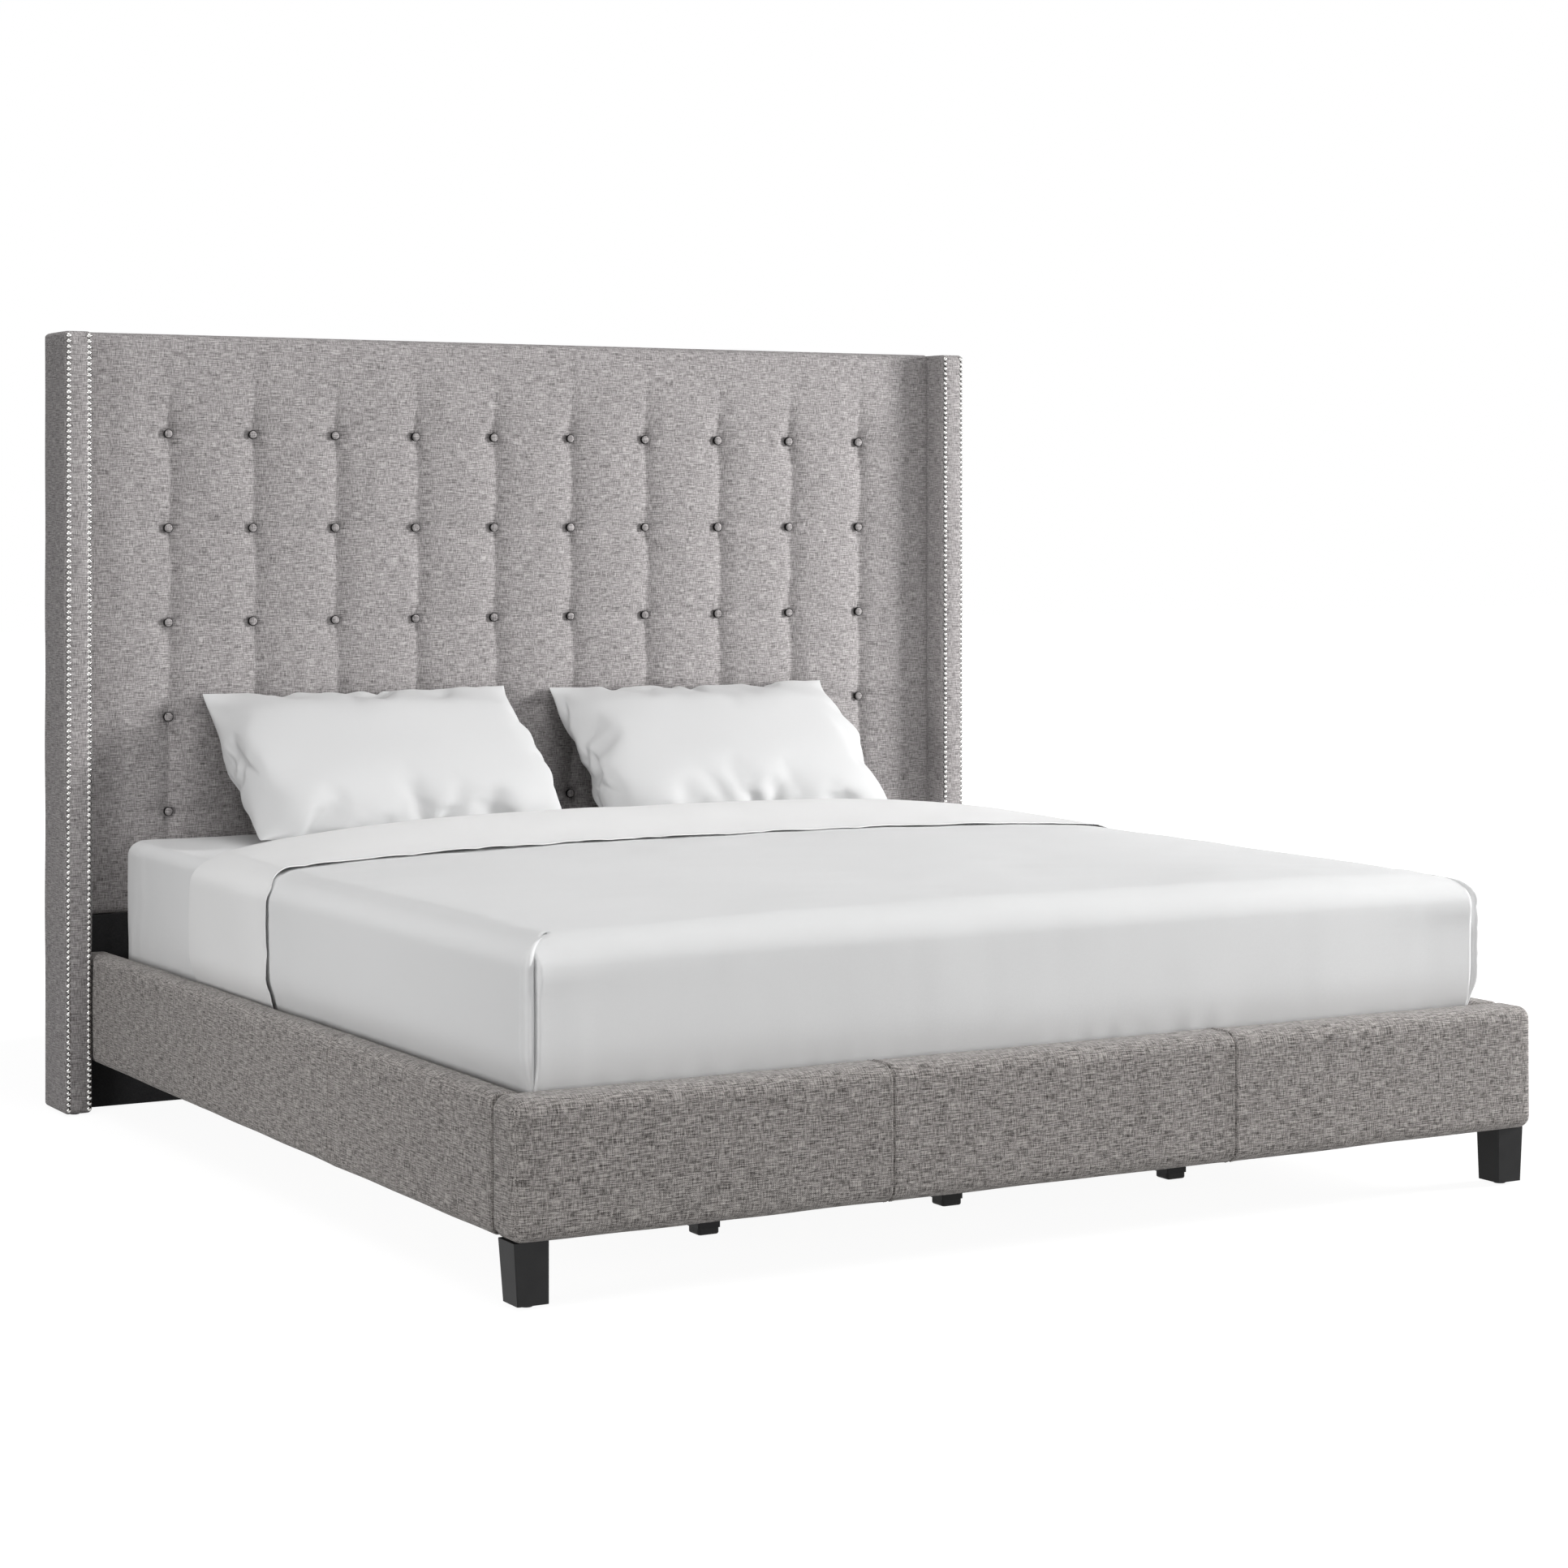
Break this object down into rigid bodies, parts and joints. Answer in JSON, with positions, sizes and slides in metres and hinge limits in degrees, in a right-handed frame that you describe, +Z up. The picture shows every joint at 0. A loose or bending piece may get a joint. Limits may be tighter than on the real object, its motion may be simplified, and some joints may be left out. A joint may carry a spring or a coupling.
{
  "type": "wingback bed",
  "caption": "Upholstered wingback bed with a button-tufted headboard between nail-trimmed wings, padded rails and footboard on short legs, dressed with a mattress, white bedding and pillows.",
  "frame": {"origin": "on the floor, under the middle of the bed's width and length", "axes": "+X across the bed to the right seen from the foot, +Y from the foot to the headboard, +Z up"},
  "size_m": [2.235, 2.215, 1.65],
  "materials": {
    "headboard_linen": "heathered grey linen weave over foam",
    "frame_linen": "heathered grey linen weave over thin foam",
    "black_panel": "board wrapped in matte black lining cloth",
    "black_cloth": "thin matte black dust cloth",
    "nickel": "polished nickel",
    "black_wood": "black satin lacquer",
    "black_plastic": "moulded black plastic",
    "zinc_steel": "bright zinc plate",
    "slat_timber": "planed pine",
    "frame_timber": "sawn softwood",
    "panel_board": "plywood",
    "mattress_ticking": "knitted white ticking",
    "white_cotton": "smooth white percale",
    "pillow_cotton": "smooth white percale, filled"
  },
  "bodies": {
    "root": {"bearer_front": "slat_timber", "bearer_middle": "slat_timber", "bearer_rear": "slat_timber", "bracket_bolts": "zinc_steel", "footboard_core": "frame_timber", "footboard_cover": "frame_linen", "headboard_back_cloth": "black_cloth", "headboard_face_board": "panel_board", "headboard_glides": "black_plastic", "headboard_lower_rail": "frame_timber", "headboard_middle_rail": "frame_timber", "headboard_stile_left": "frame_timber", "headboard_stile_right": "frame_timber", "headboard_top_rail": "frame_timber", "leg_left": "black_wood", "leg_right": "black_wood", "leg_studs": "zinc_steel", "lower_panel": "black_panel", "nail_strip_left_inner": "nickel", "nail_strip_left_outer": "nickel", "nail_strip_right_inner": "nickel", "nail_strip_right_outer": "nickel", "rail_brackets_foot": "zinc_steel", "rail_brackets_head": "zinc_steel", "rail_left_core": "frame_timber", "rail_left_cover": "frame_linen", "rail_left_ledger": "frame_timber", "rail_right_core": "frame_timber", "rail_right_cover": "frame_linen", "rail_right_ledger": "frame_timber", "slat_screws": "zinc_steel", "slats": "slat_timber", "strip_nails": "nickel", "support_legs_front": "black_wood", "support_legs_middle": "black_wood", "support_legs_rear": "black_wood", "tuft_buttons": "headboard_linen", "tufted_pad": "headboard_linen", "wing_bolts": "zinc_steel", "wing_left_core": "frame_timber", "wing_left_cover": "headboard_linen", "wing_right_core": "frame_timber", "wing_right_cover": "headboard_linen"},
    "mattress_and_bedding": {"mattress": "mattress_ticking", "fitted_sheet": "white_cotton", "bed_cover": "white_cotton", "sheet_cuff": "white_cotton"},
    "pillow_left": {"pillow_left": "pillow_cotton"},
    "pillow_right": {"pillow_right": "pillow_cotton"},
    "leg_glide_left": {"leg_glide_left": "black_plastic"},
    "leg_glide_right": {"leg_glide_right": "black_plastic"},
    "support_foot_front_left": {"support_foot_front_left": "black_plastic"},
    "support_foot_front_middle": {"support_foot_front_middle": "black_plastic"},
    "support_foot_front_right": {"support_foot_front_right": "black_plastic"},
    "support_foot_middle_left": {"support_foot_middle_left": "black_plastic"},
    "support_foot_middle_middle": {"support_foot_middle_middle": "black_plastic"},
    "support_foot_middle_right": {"support_foot_middle_right": "black_plastic"},
    "support_foot_rear_left": {"support_foot_rear_left": "black_plastic"},
    "support_foot_rear_middle": {"support_foot_rear_middle": "black_plastic"},
    "support_foot_rear_right": {"support_foot_rear_right": "black_plastic"}
  },
  "joints": [
    {"name": "mattress_lift", "type": "slide", "parent": "root", "child": "mattress_and_bedding", "axis": [0, 0, 1], "range_m": [0, 0.4]},
    {"name": "pillow_left_lift", "type": "slide", "parent": "mattress_and_bedding", "child": "pillow_left", "axis": [0, 0, 1], "range_m": [0, 0.35]},
    {"name": "pillow_right_lift", "type": "slide", "parent": "mattress_and_bedding", "child": "pillow_right", "axis": [0, 0, 1], "range_m": [0, 0.35]},
    {"name": "leg_glide_left_level", "type": "slide", "parent": "root", "child": "leg_glide_left", "axis": [0, 0, -1], "range_m": [0, 0.012]},
    {"name": "leg_glide_right_level", "type": "slide", "parent": "root", "child": "leg_glide_right", "axis": [0, 0, -1], "range_m": [0, 0.012]},
    {"name": "support_foot_front_left_level", "type": "slide", "parent": "root", "child": "support_foot_front_left", "axis": [0, 0, -1], "range_m": [0, 0.015]},
    {"name": "support_foot_front_middle_level", "type": "slide", "parent": "root", "child": "support_foot_front_middle", "axis": [0, 0, -1], "range_m": [0, 0.015]},
    {"name": "support_foot_front_right_level", "type": "slide", "parent": "root", "child": "support_foot_front_right", "axis": [0, 0, -1], "range_m": [0, 0.015]},
    {"name": "support_foot_middle_left_level", "type": "slide", "parent": "root", "child": "support_foot_middle_left", "axis": [0, 0, -1], "range_m": [0, 0.015]},
    {"name": "support_foot_middle_middle_level", "type": "slide", "parent": "root", "child": "support_foot_middle_middle", "axis": [0, 0, -1], "range_m": [0, 0.015]},
    {"name": "support_foot_middle_right_level", "type": "slide", "parent": "root", "child": "support_foot_middle_right", "axis": [0, 0, -1], "range_m": [0, 0.015]},
    {"name": "support_foot_rear_left_level", "type": "slide", "parent": "root", "child": "support_foot_rear_left", "axis": [0, 0, -1], "range_m": [0, 0.015]},
    {"name": "support_foot_rear_middle_level", "type": "slide", "parent": "root", "child": "support_foot_rear_middle", "axis": [0, 0, -1], "range_m": [0, 0.015]},
    {"name": "support_foot_rear_right_level", "type": "slide", "parent": "root", "child": "support_foot_rear_right", "axis": [0, 0, -1], "range_m": [0, 0.015]}
  ]
}
